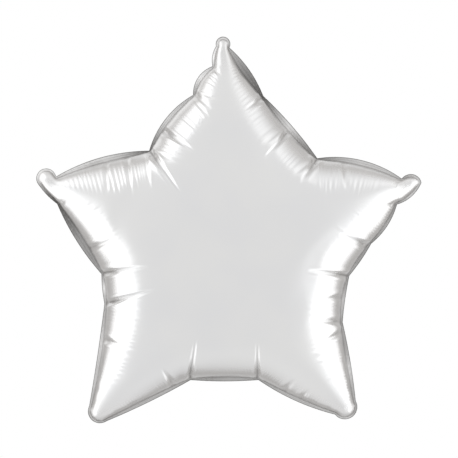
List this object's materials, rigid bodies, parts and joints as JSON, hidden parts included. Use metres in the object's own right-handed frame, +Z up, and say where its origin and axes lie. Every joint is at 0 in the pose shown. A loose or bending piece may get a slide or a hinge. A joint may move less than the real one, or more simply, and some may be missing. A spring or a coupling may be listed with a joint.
{
  "type": "star foil balloon",
  "caption": "Five-pointed star balloon of silver metallised film: domed front and back panels welded round a scalloped hem, with a folded inflation neck and valve.",
  "frame": {"origin": "root of the inflation neck, on the lower edge of the hem at the middle of the star's bottom notch, in the seam plane, where the balloon is tied and held", "axes": "+Z up towards the star's top point, -Y out of the front panel, +X to the right as seen from the front"},
  "size_m": [0.456, 0.157, 0.4571],
  "materials": {
    "silver_film": "satin mirror, metallised plastic film",
    "silver_hem": "satin, heat welded and crinkled",
    "valve_film": "milky clear polyethylene film"
  },
  "bodies": {
    "root": {"front_panel": "silver_film", "back_panel": "silver_film", "hem_top_right": "silver_hem", "hem_right_upper": "silver_hem", "hem_right_lower": "silver_hem", "hem_bottom_right_outer": "silver_hem", "hem_bottom_right_inner": "silver_hem", "hem_bottom_left_inner": "silver_hem", "hem_bottom_left_outer": "silver_hem", "hem_left_lower": "silver_hem", "hem_left_upper": "silver_hem", "hem_top_left": "silver_hem", "neck_inner_ply": "silver_film", "neck_outer_ply": "silver_film", "neck_seal_left": "silver_hem", "neck_seal_right": "silver_hem", "valve_film": "valve_film"}
  },
  "joints": []
}
